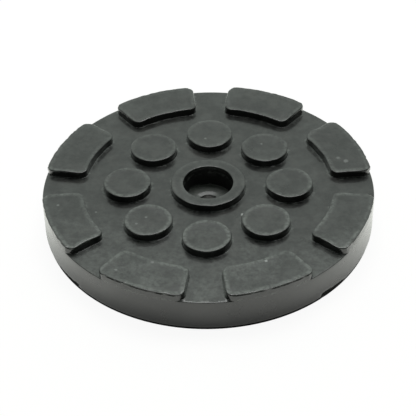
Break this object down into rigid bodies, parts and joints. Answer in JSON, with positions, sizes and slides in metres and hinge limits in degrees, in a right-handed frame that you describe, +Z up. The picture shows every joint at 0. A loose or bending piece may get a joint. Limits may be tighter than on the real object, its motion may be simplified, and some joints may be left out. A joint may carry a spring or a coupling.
{
  "type": "rubber jack pad",
  "caption": "Round black rubber jack pad with arc blocks at the rim, a ring of round studs and a recessed screw hole in a central boss.",
  "frame": {"origin": "centre of the flat underside", "axes": "+Z up through the screw hole, out of the treads; +X towards one stud, with a gap between two rim blocks on it"},
  "size_m": [0.12, 0.12, 0.0153],
  "materials": {
    "rubber": "satin"
  },
  "bodies": {
    "root": {"pad": "rubber"}
  },
  "joints": []
}
